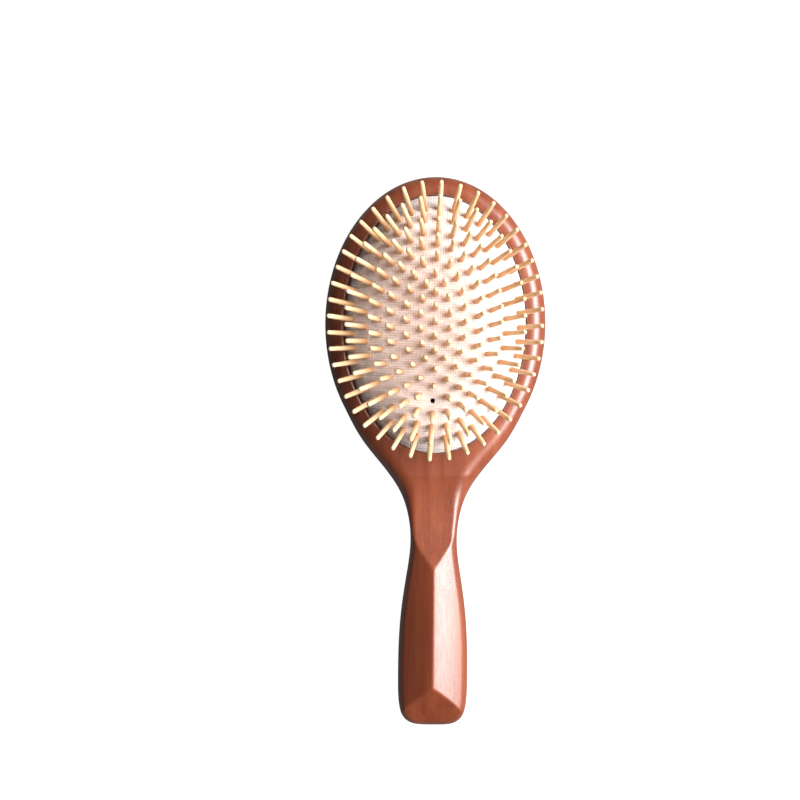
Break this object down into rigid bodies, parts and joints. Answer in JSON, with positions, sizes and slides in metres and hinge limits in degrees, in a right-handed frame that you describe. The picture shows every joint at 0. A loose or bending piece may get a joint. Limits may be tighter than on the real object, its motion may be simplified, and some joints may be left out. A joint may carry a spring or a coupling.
{
  "type": "cushioned wooden hairbrush",
  "caption": "Oval wooden paddle hairbrush with tapered wooden pins in a cloth-faced air cushion and a ridged handle.",
  "frame": {"origin": "under the middle of the brush, on the flat back", "axes": "+Y along the brush towards the top of the head, +Z out of the pin side, +X to the right"},
  "size_m": [0.0924, 0.23, 0.0395],
  "materials": {
    "beech_body": "satin",
    "pale_pins": "satin",
    "cushion_cloth": "matte",
    "cushion_rubber": "matte"
  },
  "bodies": {
    "brush": {"wooden_body": "beech_body", "cushion_rubber": "cushion_rubber", "cushion_cloth": "cushion_cloth"},
    "centre_pins": {"pins_centre_row": "pale_pins"},
    "ring_1_pins": {"pins_ring_1": "pale_pins"},
    "ring_2_pins": {"pins_ring_2": "pale_pins"},
    "ring_3_pins": {"pins_ring_3": "pale_pins"},
    "ring_4_pins": {"pins_ring_4": "pale_pins"},
    "ring_5_pins": {"pins_ring_5": "pale_pins"},
    "ring_6_pins": {"pins_ring_6": "pale_pins"}
  },
  "joints": [
    {"name": "cushion_press", "type": "slide", "parent": "brush", "child": "centre_pins", "axis": [0, 0, -1], "range_m": [0, 0.0045], "stiffness_N_per_m": 1200, "deforming": ["cushion_rubber", "cushion_cloth"]},
    {"name": "ring_1_press", "type": "slide", "parent": "brush", "child": "ring_1_pins", "axis": [0, 0, -1], "range_m": [0, 0.00174]},
    {"name": "ring_2_press", "type": "slide", "parent": "brush", "child": "ring_2_pins", "axis": [0, 0, -1], "range_m": [0, 0.00298]},
    {"name": "ring_3_press", "type": "slide", "parent": "brush", "child": "ring_3_pins", "axis": [0, 0, -1], "range_m": [0, 0.00378]},
    {"name": "ring_4_press", "type": "slide", "parent": "brush", "child": "ring_4_pins", "axis": [0, 0, -1], "range_m": [0, 0.00422]},
    {"name": "ring_5_press", "type": "slide", "parent": "brush", "child": "ring_5_pins", "axis": [0, 0, -1], "range_m": [0, 0.00446]},
    {"name": "ring_6_press", "type": "slide", "parent": "brush", "child": "ring_6_pins", "axis": [0, 0, -1], "range_m": [0, 0.00456]}
  ],
  "couplings": [
    {"joint": "ring_1_press", "follows": "cushion_press", "ratio": 0.365},
    {"joint": "ring_2_press", "follows": "cushion_press", "ratio": 0.641},
    {"joint": "ring_3_press", "follows": "cushion_press", "ratio": 0.818},
    {"joint": "ring_4_press", "follows": "cushion_press", "ratio": 0.916},
    {"joint": "ring_5_press", "follows": "cushion_press", "ratio": 0.969},
    {"joint": "ring_6_press", "follows": "cushion_press", "ratio": 0.992}
  ]
}
